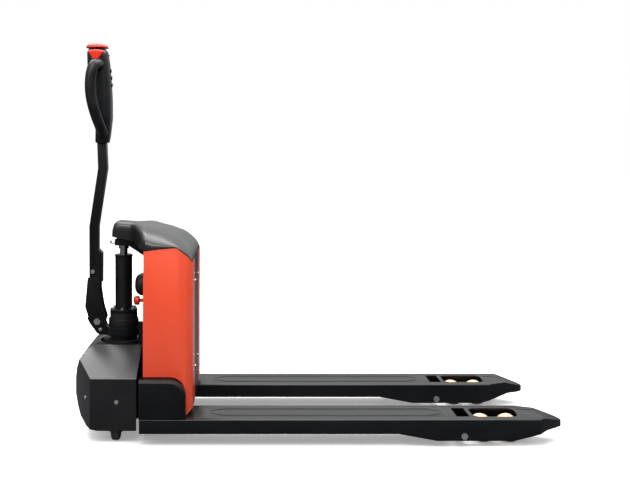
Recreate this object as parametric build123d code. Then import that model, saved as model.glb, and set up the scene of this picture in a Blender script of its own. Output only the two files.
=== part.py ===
from build123d import *
import os
from math import asin, cos, degrees, radians, sin, sqrt

# Electric pallet truck, about 1.5 m long: two forks on a lifting chassis with the battery cabinet,
# and a drive unit that stays on the floor, carries the lift cylinder and is steered by the tiller.
# Millimetres. +X points to the fork tips, +Y to the truck's left, +Z up. The origin is on the floor
# under the middle of the truck. Everything is drawn with the forks lowered and the tiller upright.

# ---------------------------------------------------------------- driving sizes
overall_length = 1532.0
overall_width = 560.0
fork_length = 1150.0          # load face to fork tip
fork_width = 155.0
fork_top = 85.0               # lowered height
fork_section = 44.0           # depth of the plain fork section
toe_section = 65.0            # depth of the deeper section round the load wheels
fork_plate = 4.0
lift_height = 105.0
gap = 0.5                     # clearance between parts that don't touch
running = 0.05                # radial clearance of a shaft in its hole

x_rear = -overall_length / 2
x_tip = overall_length / 2
x_face = x_tip - fork_length  # load face of the cabinet
half_width = overall_width / 2
fork_half = fork_width / 2
fork_y = half_width - fork_half
fork_heel = x_face - 161.0    # rear end of the fork channels
fork_bottom = fork_top - fork_section
heel_top = fork_top - 1.0     # the heel lies a step below the load-carrying top face
toe_bottom = fork_top - toe_section
tip_depth = 18.0
tip_drop = 21.0               # how far the top falls towards the tip
groove_depth = 1.2

# load wheels, their bogies and the arms that push them down
load_wheel_radius = 37.0
load_wheel_width = 64.0
bogie_half_base = 41.0
bogie_x = 561.0
arm_pivot_x = 448.0
arm_pivot_z = 34.0
arm_pin_radius = 8.0
wheel_axle_radius = 8.0
stub_radius = 8.0
eye_wall = 8.0
arm_boss_wall = 4.0
bogie_plate = 5.0
arm_plate = 7.0
side_play = 1.0               # wheel to bogie plate
window_half = 45.0

# rocker that the drive unit turns, and the push rods that it moves
rocker_x = x_face - 46.0
rocker_z = 66.0
rocker_arm_y = 100.0
rocker_arm_plate = 10.0
rocker_shaft_radius = 12.0
lug_radius = 28.0
lug_plate = 16.0
link_pin_radius = 5.0
base_pin_radius = 8.0
push_rod_radius = 8.0
clevis_plate = 4.0

# drive unit
steer_x = -629.0
drive_wheel_radius = 105.0
drive_wheel_width = 64.0
drive_rim_radius = 78.0
drive_axle_radius = 15.0
neck_radius = 44.0
bearing_radius = 55.0         # between the two bearing rings
housing_radius = 66.0         # outside of the outer bearing ring
base_plate_z = 232.0
base_plate_thick = 10.0
bearing_height = 20.0
barrel_radius = 28.5
barrel_wall = 6.5
rod_radius = 13.0
head_top = 363.0              # top of the steering head, where the lift cylinder stands
flange_thick = 12.0
barrel_top = 549.0
gland_height = 7.0
rod_top = 590.0

# casters
caster_x = -625.0
caster_y = 190.0
caster_wheel_radius = 36.0
caster_wheel_width = 28.0
caster_trail = 13.0
caster_plate_z = 97.0
caster_axle_radius = 6.0

# cabinet
cabinet_rear = x_face - 153.0
cabinet_half = 245.0
cabinet_corner = 38.0
cover_wall = 3.0
front_panel_half = 104.0
frame_plate = 6.0
gusset_top = 203.0
gusset_front = x_face - 20.0
gusset_corner = 52.0
tray_z = 225.0
shelf_z = 412.0
frame_top = 590.0
cover_top = 669.0
nose_rear = -662.0
nose_half = 56.0
shroud_front = x_face - 173.0
shroud_half = 250.0
shroud_wall = 3.0
shroud_bottom = 41.0
shroud_crease = 201.0
shroud_top = 272.0
pump_radius = 38.0
pump_z = 455.0
button_radius = 13.0
button_z = 401.0
button_stem = 5.9

# tiller
tiller_x = -714.0
tiller_z = 335.0
tiller_pin_radius = 10.0
tube_depth = 29.0
tube_half = 20.0
tube_wall = 3.0
cheek_inner = 23.5
cheek_plate = 5.0
lug_inner = 13.0
lug_outer = 22.5
tiller_range = 80.0           # degrees that the tiller swings down
cam_radius = 24.0
cam_rise = 14.0               # how much the cam pushes the spring rod in over that swing
cam_half = 5.0
roller_radius = 8.0
roller_gap = 0.6
spring_radius = 10.0
spring_rod_radius = 5.0
head_bottom = 930.0
head_height = 1250.0
head_half = 46.0
grip_radius = 17.0
grip_y = 104.0
throttle_z = 1213.0
throttle_x = -713.0
throttle_shaft = 6.0
key_travel = 3.0
cap_travel = 4.0

# ---------------------------------------------------------------- worked out
arm_length = sqrt((bogie_x - arm_pivot_x) ** 2 + (load_wheel_radius - arm_pivot_z) ** 2)
arm_rise = degrees(asin((load_wheel_radius - arm_pivot_z) / arm_length))
arm_drop = degrees(asin((lift_height - load_wheel_radius + arm_pivot_z) / arm_length))
arm_turn = arm_rise + arm_drop          # how far each load arm turns over the whole lift
half_turn = radians(arm_turn / 2)
rocker_reach = lift_height / 2 / sin(half_turn)
lug_back = lug_radius * sin(half_turn)
lug_rise = lug_radius * cos(half_turn)
rocker_swing = rocker_reach * (1 - cos(half_turn))   # how far the rocker's end moves along X
bogie_inner = load_wheel_width / 2 + side_play
bogie_outer = bogie_inner + bogie_plate
arm_inner = bogie_outer + 2 * gap
arm_outer = arm_inner + arm_plate


# ---------------------------------------------------------------- helpers
def block(x0, x1, y0, y1, z0, z1):
    """Box between two corners."""
    return Pos((x0 + x1) / 2, (y0 + y1) / 2, (z0 + z1) / 2) * Box(x1 - x0, y1 - y0, z1 - z0)


def rod_x(radius, x0, x1, y, z):
    return Pos((x0 + x1) / 2, y, z) * Rot(0, 90, 0) * Cylinder(radius, x1 - x0)


def rod_y(radius, x, y0, y1, z):
    return Pos(x, (y0 + y1) / 2, z) * Rot(90, 0, 0) * Cylinder(radius, y1 - y0)


def rod_z(radius, x, y, z0, z1):
    return Pos(x, y, (z0 + z1) / 2) * Cylinder(radius, z1 - z0)


def side_slab(points, y0, y1):
    """Outline in the XZ plane, given a width along Y."""
    face = make_face(Polyline(*[(x, y0, z) for x, z in points], close=True))
    return extrude(face, amount=y1 - y0, dir=(0, 1, 0))


def plan_slab(points, z0, z1):
    """Outline in the XY plane, given a height along Z."""
    face = make_face(Polyline(*[(x, y, z0) for x, y in points], close=True))
    return extrude(face, amount=z1 - z0, dir=(0, 0, 1))


def cross_slab(points, x0, x1):
    """Outline in the YZ plane, given a length along X."""
    face = make_face(Polyline(*[(x0, y, z) for y, z in points], close=True))
    return extrude(face, amount=x1 - x0, dir=(1, 0, 0))


def link_plate(x0, z0, r0, x1, z1, r1, y0, y1):
    """Flat link: two round ends joined by a waist between them."""
    length = sqrt((x1 - x0) ** 2 + (z1 - z0) ** 2)
    nx, nz = -(z1 - z0) / length, (x1 - x0) / length
    waist = side_slab(
        [
            (x0 + nx * r0, z0 + nz * r0),
            (x1 + nx * r1, z1 + nz * r1),
            (x1 - nx * r1, z1 - nz * r1),
            (x0 - nx * r0, z0 - nz * r0),
        ],
        y0,
        y1,
    )
    return waist + rod_y(r0, x0, y0, y1, z0) + rod_y(r1, x1, y0, y1, z1)


def hexagon_y(across, x, y0, y1, z):
    flat = Plane(origin=(x, y0, z), x_dir=(1, 0, 0), z_dir=(0, 1, 0))
    return extrude(flat * RegularPolygon(across / 2, 6, major_radius=False), y1 - y0)


def hexagon_z(across, x, y, z0, z1):
    return Pos(x, y, z0) * extrude(RegularPolygon(across / 2, 6, major_radius=False), z1 - z0)


def ribbon(centres, half):
    """Outline of a bent strip of constant depth, mitred at its bends."""
    left, right = [], []
    for i, (x, z) in enumerate(centres):
        x0, z0 = centres[max(i - 1, 0)]
        x1, z1 = centres[min(i + 1, len(centres) - 1)]
        a = Vector(x - x0, z - z0) if i else Vector(x1 - x, z1 - z)
        b = Vector(x1 - x, z1 - z) if i < len(centres) - 1 else a
        normal_a = Vector(-a.Y, a.X).normalized()
        normal_b = Vector(-b.Y, b.X).normalized()
        mitre = (normal_a + normal_b).normalized()
        reach = half / mitre.dot(normal_a)
        left.append((x + mitre.X * reach, z + mitre.Y * reach))
        right.append((x - mitre.X * reach, z - mitre.Y * reach))
    return left + right[::-1]


def both_sides(shape):
    """The shape and its mirror image across the truck's middle."""
    return [shape, mirror(shape, about=Plane.XZ)]


def save(name, *shapes):
    """Write one node: one solid, or a group of separate ones."""
    solids = [solid for shape in shapes for solid in shape.solids()]
    export_step(solids[0] if len(solids) == 1 else Compound(children=solids), f"parts/{name}.step")


def save_sides(name, shape):
    """Write the right-hand piece as drawn, at negative Y, and its mirror image as the left one."""
    right, left = both_sides(shape)
    save(name + "_right", right)
    save(name + "_left", left)


os.makedirs("parts", exist_ok=True)

# ---------------------------------------------------------------- forks
# Drawn for the right-hand fork; side is -1 there, so its outer edge has the lower Y.
deep_front = x_tip - 165.0
deep_rear = x_tip - 402.0
plain_front = x_tip - 518.0
taper_outer = x_tip - 86.0
taper_inner = x_tip - 134.0
tip_half = 30.0
slope_start = x_tip - 70.0
window_rear = arm_pivot_x - 16.0
window_split = window_rear + 40.0
window_start = window_split + 12.0
window_end = window_start + 142.0
panel_half = 36.0


def fork_plan(inset):
    """Plan outline of the right-hand fork, drawn inwards by an inset."""
    outer = -half_width + inset
    inner = -half_width + fork_width - inset
    middle = -fork_y
    tip = tip_half - inset
    return [
        (fork_heel + inset, outer),
        (taper_outer, outer),
        (x_tip - 22 - inset, middle - tip),
        (x_tip - 7 - inset, middle - tip + 12),
        (x_tip - inset, middle - tip + 24),
        (x_tip - inset, middle + tip - 24),
        (x_tip - 7 - inset, middle + tip - 12),
        (x_tip - 22 - inset, middle + tip),
        (taper_inner, inner),
        (fork_heel + inset, inner),
    ]


fork_side = [
    (fork_heel, fork_bottom),
    (plain_front, fork_bottom),
    (deep_rear, toe_bottom),
    (deep_front, toe_bottom),
    (x_tip - 60, fork_top - tip_drop - tip_depth),
    (x_tip, fork_top - tip_drop - tip_depth),
    (x_tip, fork_top - tip_drop),
    (slope_start, fork_top),
    (fork_heel, fork_top),
]
fork_shape = side_slab(fork_side, -half_width, -half_width + fork_width) & plan_slab(fork_plan(0), 0, 100)
long_edges = fork_shape.edges().filter_by(Axis.X).group_by(Axis.Z)[-1]
fork_shape = fillet(long_edges, 5.0)
inner_side = [
    (fork_heel + fork_plate, -5),
    (x_tip - 60, -5),
    (x_tip - 60, fork_top - fork_plate - 4),
    (slope_start - 10, fork_top - fork_plate),
    (fork_heel + fork_plate, fork_top - fork_plate),
]
hollow = side_slab(inner_side, -half_width, -half_width + fork_width) & plan_slab(fork_plan(fork_plate), -5, 100)
fork = fork_shape - hollow

# windows over the arm lug and over the load wheels
corner = 15.0
small_window = block(window_rear, window_split, -fork_y - window_half, -fork_y + window_half, 60, 100)
big_window = plan_slab(
    [
        (window_start + corner, -fork_y - window_half),
        (window_end - corner, -fork_y - window_half),
        (window_end, -fork_y - window_half + corner),
        (window_end, -fork_y + window_half - corner),
        (window_end - corner, -fork_y + window_half),
        (window_start + corner, -fork_y + window_half),
        (window_start, -fork_y + window_half - corner),
        (window_start, -fork_y - window_half + corner),
    ],
    60,
    100,
)
fork = fork - small_window - big_window
fork = fork - block(fork_heel - 1, x_face + 1, -half_width, -half_width + fork_width, heel_top, fork_top + 1)

# pressed grooves that frame the top panel, and the recess in the toe
panel_rear = x_face + 53.0
panel_front = window_rear - 40.0
groove = 5.0
for side in (-1, 1):
    edge = -fork_y + side * panel_half
    fork = fork - block(panel_rear + 40, panel_front - 40, edge - groove / 2, edge + groove / 2,
                        fork_top - groove_depth, fork_top + 1)
    for x_end, x_near in ((panel_rear, panel_rear + 40), (panel_front, panel_front - 40)):
        slant = plan_slab(
            [
                (x_near, edge + groove / 2),
                (x_near, edge - groove / 2),
                (x_end, -fork_y + side * 10 - groove / 2),
                (x_end, -fork_y + side * 10 + groove / 2),
            ],
            fork_top - groove_depth,
            fork_top + 1,
        )
        fork = fork - slant
toe_recess = plan_slab(
    [
        (window_end + 10, -fork_y - 40),
        (slope_start - 3, -fork_y - 24),
        (slope_start - 3, -fork_y + 24),
        (window_end + 10, -fork_y + 40),
    ],
    fork_top - groove_depth,
    fork_top + 1,
)
fork = fork - toe_recess
fork = fork - rod_y(arm_pin_radius + running, arm_pivot_x, -half_width - 1, -half_width + fork_width + 1, arm_pivot_z)
fork = fork - rod_y(rocker_shaft_radius + running, rocker_x, -fork_y, 0, rocker_z)
save_sides("fork", fork)

# ---------------------------------------------------------------- load arms, bogies and load wheels
arm_boss = arm_pin_radius + arm_boss_wall
bogie_eye = stub_radius + 5.0
lug_x = arm_pivot_x - lug_back
lug_z = arm_pivot_z + lug_rise
lug_eye = link_pin_radius + 5.0
pin_half = lug_plate / 2 + gap + clevis_plate


def load_arm():
    arm = rod_y(arm_boss, arm_pivot_x, -fork_y - arm_outer, -fork_y + arm_outer, arm_pivot_z)
    for side in (-1, 1):
        y0, y1 = sorted((-fork_y + side * arm_inner, -fork_y + side * arm_outer))
        arm += link_plate(arm_pivot_x, arm_pivot_z, arm_boss, bogie_x, load_wheel_radius, bogie_eye, y0, y1)
        y0, y1 = sorted((-fork_y + side * bogie_inner, -fork_y + side * arm_inner))
        arm += rod_y(stub_radius, bogie_x, y0, y1, load_wheel_radius)
    arm += link_plate(arm_pivot_x, arm_pivot_z, lug_eye, lug_x, lug_z, lug_eye,
                      -fork_y - lug_plate / 2, -fork_y + lug_plate / 2)
    arm += rod_y(link_pin_radius, lug_x, -fork_y - pin_half, -fork_y + pin_half, lug_z)
    arm -= rod_y(arm_pin_radius + running, arm_pivot_x, -half_width, -half_width + fork_width, arm_pivot_z)
    return arm


def bogie():
    plates = []
    for side in (-1, 1):
        y0, y1 = sorted((-fork_y + side * bogie_inner, -fork_y + side * bogie_outer))
        plate = link_plate(bogie_x - bogie_half_base, load_wheel_radius, bogie_eye,
                           bogie_x + bogie_half_base, load_wheel_radius, bogie_eye, y0, y1)
        plate -= rod_y(stub_radius + running, bogie_x, y0 - 1, y1 + 1, load_wheel_radius)
        plates.append(plate)
    frame = plates[0] + plates[1]
    for end in (-1, 1):
        frame += rod_y(wheel_axle_radius, bogie_x + end * bogie_half_base,
                       -fork_y - bogie_outer, -fork_y + bogie_outer, load_wheel_radius)
    return frame


def load_wheel(x):
    y0, y1 = -fork_y - load_wheel_width / 2, -fork_y + load_wheel_width / 2
    wheel = rod_y(load_wheel_radius, x, y0, y1, load_wheel_radius)
    wheel = chamfer(wheel.edges().filter_by(GeomType.CIRCLE), 3.0)
    return wheel - rod_y(wheel_axle_radius + running, x, y0 - 1, y1 + 1, load_wheel_radius)


save_sides("load_arm", load_arm())
save_sides("bogie", bogie())
save_sides("load_wheel_rear", load_wheel(bogie_x - bogie_half_base))
save_sides("load_wheel_front", load_wheel(bogie_x + bogie_half_base))

bolt_head = 10.0
bolt_proud = 2.5
arm_bolt = rod_y(arm_pin_radius, arm_pivot_x, -half_width - bolt_proud,
                 -half_width + fork_width + bolt_proud, arm_pivot_z)
for y0 in (-half_width - bolt_proud, -half_width + fork_width):
    arm_bolt += rod_y(bolt_head, arm_pivot_x, y0, y0 + bolt_proud, arm_pivot_z)
save("arm_bolts", *both_sides(arm_bolt))

# ---------------------------------------------------------------- rocker and push rods
rocker_lug_x = rocker_x - lug_back
rocker_lug_z = rocker_z - lug_rise
rocker_end_x = rocker_x - rocker_reach * cos(half_turn)
rocker_end_z = rocker_z + lift_height / 2
base_pin_x = rocker_end_x - rocker_swing / 2
slot_radius = base_pin_radius + rocker_swing / 2 + 2.0
rocker_eye = slot_radius + eye_wall
rocker = rod_y(rocker_shaft_radius, rocker_x, -fork_y - lug_plate / 2, fork_y + lug_plate / 2, rocker_z)
for side in (-1, 1):
    y = side * rocker_arm_y
    rocker += link_plate(rocker_x, rocker_z, rocker_shaft_radius + eye_wall, rocker_end_x, rocker_end_z, rocker_eye,
                         y - rocker_arm_plate / 2, y + rocker_arm_plate / 2)
    rocker -= rod_y(slot_radius, rocker_end_x, y - rocker_arm_plate, y + rocker_arm_plate, rocker_end_z)
    y = side * fork_y
    rocker += link_plate(rocker_x, rocker_z, rocker_shaft_radius + 2.5, rocker_lug_x, rocker_lug_z, lug_eye,
                         y - lug_plate / 2, y + lug_plate / 2)
    rocker += rod_y(link_pin_radius, rocker_lug_x, y - pin_half, y + pin_half, rocker_lug_z)
save("rocker", rocker)


def push_rod():
    """Round bar with a slotted clevis at each end, between the rocker's lug and the arm's lug."""
    half_slot = link_pin_radius + gap
    sag = lug_radius - lug_rise
    bar_start, bar_end = rocker_lug_x + 34, lug_x - 34
    slope = (lug_z - rocker_lug_z) / (lug_x - rocker_lug_x)
    z_start = rocker_lug_z + slope * 34
    z_end = lug_z - slope * 34
    line = Line((bar_start, -fork_y, z_start), (bar_end, -fork_y, z_end))
    bar = sweep(Plane(origin=line @ 0, z_dir=line % 0) * Circle(push_rod_radius), path=line)
    for x, z, direction, rise in ((rocker_lug_x, rocker_lug_z, 1, -sag), (lug_x, lug_z, -1, sag)):
        low, high = sorted((z, z + rise))
        wall = 3.5
        x0, x1 = sorted((x - direction * (half_slot + wall), x + direction * 40))
        for side in (-1, 1):
            y0 = side * (lug_plate / 2 + gap)
            y0, y1 = sorted((-fork_y + y0, -fork_y + y0 + side * clevis_plate))
            plate = block(x0, x1, y0, y1, low - half_slot - wall, high + half_slot + wall)
            plate -= block(x - half_slot, x + half_slot, y0 - 1, y1 + 1, low - half_slot, high + half_slot)
            bar += plate
        x0, x1 = sorted((x + direction * 30, x + direction * 40))
        reach = lug_plate / 2 + gap + clevis_plate
        bar += block(x0, x1, -fork_y - reach, -fork_y + reach, low - half_slot - wall, high + half_slot + wall)
    return bar


save_sides("push_rod", push_rod())

# ---------------------------------------------------------------- base frame of the drive unit
keep_out = sqrt(drive_wheel_radius ** 2 + (drive_wheel_width / 2) ** 2) + 2.5   # swept by the steered wheel
wing_inner = keep_out + 1.0
wing_outer = wing_inner + 7.0
base_top = base_plate_z + base_plate_thick
base_front = shroud_front - 3.0
base_rear = steer_x - 70.0
shroud_inner = shroud_half - shroud_wall
hole_radius = neck_radius + 12.0
pin_height = rocker_z + lift_height / 2

base = block(base_rear, base_front + 6, -wing_outer, wing_outer, base_plate_z, base_top)
base -= rod_z(hole_radius, steer_x, 0, base_plate_z - 1, base_top + 1)
for side in (-1, 1):
    y0, y1 = sorted((side * wing_inner, side * wing_outer))
    wing = side_slab(
        [
            (base_rear, caster_plate_z),
            (base_front, caster_plate_z),
            (base_pin_x + 18, pin_height - 20),
            (base_pin_x + 18, pin_height + 20),
            (base_front + 6, base_plate_z - 30),
            (base_front + 6, base_plate_z + 1),
            (base_rear, base_plate_z + 1),
        ],
        y0,
        y1,
    )
    base += wing
    y0, y1 = sorted((side * wing_inner, side * shroud_inner))
    base += block(base_rear, base_front, y0, y1, caster_plate_z, caster_plate_z + 8)
    y0, y1 = sorted((side * (rocker_arm_y - rocker_arm_plate / 2 - 3), side * wing_outer))
    base += rod_y(base_pin_radius, base_pin_x, y0, y1, pin_height)
    # tab that the shroud is screwed to
    y0, y1 = sorted((side * (shroud_inner - 5), side * shroud_inner))
    base += block(steer_x - 4, steer_x + 26, y0, y1, caster_plate_z, 150)
    # upright that guides the chassis
    guide_y = 64.0
    y0, y1 = sorted((side * (guide_y - 4), side * (guide_y + 4)))
    base += block(base_front - 12, cabinet_rear + 3, y0, y1, base_top - 1, head_top - 20)
base += block(base_front, base_front + 6, -guide_y, guide_y, base_top - 1, base_top + 28)

outer_ring = rod_z(housing_radius, steer_x, 0, base_top, base_top + bearing_height)
outer_ring -= rod_z(bearing_radius, steer_x, 0, base_top - 1, base_top + bearing_height + 1)
save("bearing_outer_ring", outer_ring)
inner_ring = rod_z(bearing_radius - running, steer_x, 0, base_top + 1, base_top + bearing_height + 2)
inner_ring -= rod_z(neck_radius + running / 2, steer_x, 0, base_top, base_top + bearing_height + 3)
save("bearing_inner_ring", inner_ring)

# ---------------------------------------------------------------- shroud over the drive unit
shroud_bevel_x = steer_x - 71.0
rear_half = 140.0
top_half = 88.0


def shroud_body(inset):
    """Closed block with the shroud's outer faces, drawn inwards by an inset."""
    rear = x_rear + inset
    half = shroud_half - inset
    front = shroud_front + 1
    top = shroud_top - inset
    profile = side_slab(
        [
            (front, shroud_bottom - 1),
            (rear, shroud_bottom - 1),
            (rear, shroud_bottom + 135),
            (rear + 5, shroud_bottom + 168),
            (rear + 15, shroud_bottom + 197),
            (rear + 31, top - 10),
            (rear + 54, top),
            (front, top),
        ],
        -shroud_half - 5,
        shroud_half + 5,
    )
    section = cross_slab(
        [
            (-half, 0),
            (half, 0),
            (half, shroud_crease - inset / 2),
            (top_half, top),
            (-top_half, top),
            (-half, shroud_crease - inset / 2),
        ],
        x_rear - 10,
        0,
    )
    plan = plan_slab(
        [
            (front, -half),
            (shroud_bevel_x + inset / 3, -half),
            (rear + 6, -rear_half),
            (rear, -rear_half / 2),
            (rear, rear_half / 2),
            (rear + 6, rear_half),
            (shroud_bevel_x + inset / 3, half),
            (front, half),
        ],
        0,
        shroud_top + 10,
    )
    return profile & section & plan


shroud = shroud_body(0) & block(x_rear - 5, shroud_front, -300, 300, shroud_bottom, 400)
inner = shroud_body(shroud_wall) & block(x_rear - 5, shroud_front + 1, -300, 300, shroud_bottom - 1, 400)
shroud = shroud - inner - block(shroud_front - 1, shroud_front + 2, -shroud_inner, shroud_inner, 0, shroud_crease)
top_opening = rod_z(76.0, steer_x, 0, shroud_top - 10, shroud_top + 10)
top_opening += block(steer_x, 0, -76.0, 76.0, shroud_top - 10, shroud_top + 10)
shroud = shroud - top_opening
front_opening = cross_slab(
    [
        (-shroud_inner, 0),
        (shroud_inner, 0),
        (shroud_inner, shroud_crease - 4),
        (top_half - 2, shroud_top - shroud_wall - 1),
        (2 - top_half, shroud_top - shroud_wall - 1),
        (-shroud_inner, shroud_crease - 4),
    ],
    shroud_front - 3,
    shroud_front + 3,
)
shroud = shroud - front_opening
toe_cut = side_slab(
    [
        (x_rear + 85, shroud_bottom - 5),
        (x_rear + 85, shroud_bottom),
        (x_rear + 50, shroud_bottom + 7),
        (x_rear + 25, shroud_bottom + 22),
        (x_rear + 10, shroud_bottom + 50),
        (x_rear - 5, shroud_bottom + 78),
        (x_rear - 5, shroud_bottom - 5),
    ],
    -shroud_half - 5,
    shroud_half + 5,
)
shroud = shroud - toe_cut
screw_x, screw_z = steer_x + 11.0, 130.0
screw_radius = 3.0
screw_head = 6.5
screws = []
for side in (-1, 1):
    y0, y1 = sorted((side * (shroud_inner - 5), side * (shroud_half + 0.01)))
    shroud = shroud - rod_y(screw_radius + 0.1, screw_x, y0, y1, screw_z)
    base_hole = rod_y(screw_radius + 0.1, screw_x, y0 - side, y1, screw_z)
    base = base - base_hole
    head0, head1 = sorted((side * shroud_half, side * (shroud_half + 2.5)))
    screws.append(rod_y(screw_radius, screw_x, y0, y1, screw_z) + rod_y(screw_head, screw_x, head0, head1, screw_z))
save("drive_shroud", shroud)
save("shroud_screws", *screws)

# ---------------------------------------------------------------- steering head with the drive wheel under it
crown_top = base_plate_z - 4.0
crown_bottom = crown_top - 12.0
crown_radius = 60.0
leg_inner = drive_wheel_width / 2 + 6.0
leg_outer = leg_inner + 9.0
leg_half = 34.0
collar_bottom = base_top + bearing_height + 2.0
yoke_bottom = 290.0
yoke_top = 318.0

head = rod_z(crown_radius, steer_x, 0, crown_bottom, crown_top)
head += rod_z(neck_radius, steer_x, 0, crown_top, head_top - 20)
head += rod_z(neck_radius + 22, steer_x, 0, collar_bottom, collar_bottom + 12)
head += rod_z(50.0, steer_x, 0, yoke_top, head_top - 20)
head += rod_z(45.5, steer_x, 0, head_top - 20, head_top)
for side in (-1, 1):
    y0, y1 = sorted((side * leg_inner, side * leg_outer))
    leg = block(steer_x - leg_half, steer_x + leg_half, y0, y1, drive_wheel_radius, crown_bottom + 1)
    leg += rod_y(leg_half, steer_x, y0, y1, drive_wheel_radius)
    leg -= rod_y(drive_axle_radius + running, steer_x, y0 - 1, y1 + 1, drive_wheel_radius)
    head += leg
save("steering_head", head)

hub = rod_y(drive_rim_radius, steer_x, -drive_wheel_width / 2, drive_wheel_width / 2, drive_wheel_radius)
for side in (-1, 1):
    y0, y1 = sorted((side * 14, side * (drive_wheel_width / 2 + 1)))
    recess = rod_y(drive_rim_radius - 8, steer_x, y0, y1, drive_wheel_radius)
    hub -= recess - rod_y(34.0, steer_x, y0, y1, drive_wheel_radius)
hub += rod_y(drive_axle_radius, steer_x, -leg_outer - 4, leg_outer + 4, drive_wheel_radius)
for i in range(6):
    angle = radians(60 * i)
    y0 = drive_wheel_width / 2
    hub += rod_y(6.0, steer_x + 24 * cos(angle), -y0, -y0 + 2, drive_wheel_radius + 24 * sin(angle))
save("drive_wheel_hub", hub)
tyre = rod_y(drive_wheel_radius, steer_x, -drive_wheel_width / 2, drive_wheel_width / 2, drive_wheel_radius)
tyre = chamfer(tyre.edges().filter_by(GeomType.CIRCLE), 5.0)
tyre -= rod_y(drive_rim_radius, steer_x, -drive_wheel_width, drive_wheel_width, drive_wheel_radius)
save("drive_wheel_tyre", tyre)

axle_end = leg_outer + 4
gearbox = rod_y(44.0, steer_x, -leg_outer - 26, -leg_outer, drive_wheel_radius)
gearbox -= rod_y(drive_axle_radius + 2, steer_x, -axle_end - 1, -leg_outer + 1, drive_wheel_radius)
save("gearbox", gearbox)
motor = rod_y(44.0, steer_x, leg_outer, leg_outer + 46, drive_wheel_radius)
motor -= rod_y(drive_axle_radius + 2, steer_x, leg_outer - 1, axle_end + 1, drive_wheel_radius)
save("drive_motor", motor)

# ---------------------------------------------------------------- tiller yoke with its cam
lug_round = 21.0
yoke = rod_z(60.0, steer_x, 0, yoke_bottom, yoke_top)
yoke += block(tiller_x + 5, steer_x, -lug_outer, lug_outer, yoke_bottom, yoke_top)
lug_outline = [
    (steer_x - 40, yoke_bottom),
    (steer_x - 56, yoke_top),
    (tiller_x + 18, tiller_z + 10),
    (tiller_x - 18, tiller_z + 10),
    (tiller_x - 20.5, tiller_z - 10),
    (tiller_x - 7, tiller_z - 28),
    (tiller_x + 5, yoke_bottom),
]
for side in (-1, 1):
    y0, y1 = sorted((side * lug_inner, side * lug_outer))
    yoke += side_slab(lug_outline, y0, y1) + rod_y(lug_round, tiller_x, y0, y1, tiller_z)
cam_points = []
cam_steps = 12
for i in range(cam_steps + 1):
    turn = tiller_range * i / cam_steps
    reach = cam_radius + cam_rise * turn / tiller_range
    cam_points.append((tiller_x - reach * sin(radians(turn)), tiller_z + reach * cos(radians(turn))))
last_x, last_z = cam_points[-1]
cam_face = make_face(
    Spline([(x, -cam_half, z) for x, z in cam_points])
    + Polyline(
        (last_x, -cam_half, last_z),
        (last_x + 8, -cam_half, last_z - 16),
        (tiller_x - 4, -cam_half, yoke_bottom),
        (tiller_x + 20, -cam_half, yoke_bottom),
        (tiller_x + 18, -cam_half, tiller_z + 12),
        (tiller_x, -cam_half, tiller_z + cam_radius),
    )
)
yoke += extrude(cam_face, amount=2 * cam_half, dir=(0, 1, 0))
yoke -= rod_y(tiller_pin_radius + running, tiller_x, -50, 50, tiller_z)
yoke -= rod_z(neck_radius + running, steer_x, 0, yoke_bottom - 1, yoke_top + 1)
save("tiller_yoke", yoke)

# ---------------------------------------------------------------- lift cylinder
flange_top = head_top + flange_thick
cylinder = rod_z(45.5, steer_x, 0, head_top, flange_top) + rod_z(barrel_radius, steer_x, 0, head_top, barrel_top)
cylinder -= rod_z(barrel_radius - barrel_wall, steer_x, 0, flange_top, barrel_top + 1)
bolt_circle = 37.0
cylinder_bolts = []
for i in range(6):
    angle = radians(60 * i + 30)
    x, y = steer_x + bolt_circle * cos(angle), bolt_circle * sin(angle)
    cylinder -= rod_z(3.1, x, y, head_top - 1, flange_top + 1)
    cylinder_bolts.append(rod_z(3.0, x, y, head_top, flange_top) + hexagon_z(11.0, x, y, flange_top, flange_top + 6))
save("lift_cylinder", cylinder)
save("cylinder_bolts", *cylinder_bolts)
gland_top = barrel_top + gland_height
gland = rod_z(barrel_radius + 1, steer_x, 0, barrel_top, gland_top)
gland += rod_z(barrel_radius - barrel_wall - running, steer_x, 0, barrel_top - 14, barrel_top)
gland -= rod_z(rod_radius + running, steer_x, 0, 0, gland_top + 1)
save("cylinder_gland", gland)
piston = rod_z(rod_radius, steer_x, 0, flange_top + 24, rod_top - 0.3)
piston += rod_z(barrel_radius - barrel_wall - running, steer_x, 0, flange_top + 8, flange_top + 24)
piston += rod_z(17.0, steer_x, 0, rod_top - 14, rod_top - 0.3)
save("piston_rod", piston)

# ---------------------------------------------------------------- casters
caster_fork_inner = caster_wheel_width / 2 + 2.0
caster_fork_outer = caster_fork_inner + 4.0
wheel_x = caster_x + caster_trail
swivel_top = caster_plate_z
arm_top = caster_plate_z - 14.0
bracket = rod_z(24.0, caster_x, -caster_y, swivel_top - 4.3, swivel_top - 0.3)
bracket += rod_z(20.0, caster_x, -caster_y, arm_top + 4, swivel_top - 4.3)
bracket += block(caster_x - 20, wheel_x + 12, -caster_y - caster_fork_outer, -caster_y + caster_fork_outer,
                 arm_top, arm_top + 4)
for side in (-1, 1):
    y0, y1 = sorted((-caster_y + side * caster_fork_inner, -caster_y + side * caster_fork_outer))
    bracket += side_slab(
        [
            (caster_x - 20, arm_top + 1),
            (wheel_x + 12, arm_top + 1),
            (wheel_x + 12, caster_wheel_radius),
            (wheel_x - 12, caster_wheel_radius - 8),
        ],
        y0,
        y1,
    ) + rod_y(12.0, wheel_x, y0, y1, caster_wheel_radius)
bracket += rod_y(caster_axle_radius, wheel_x, -caster_y - caster_fork_outer - 5, -caster_y + caster_fork_outer + 5,
                 caster_wheel_radius)
bracket += rod_z(6.0, caster_x, -caster_y, swivel_top - 4, swivel_top + 8)
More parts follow.
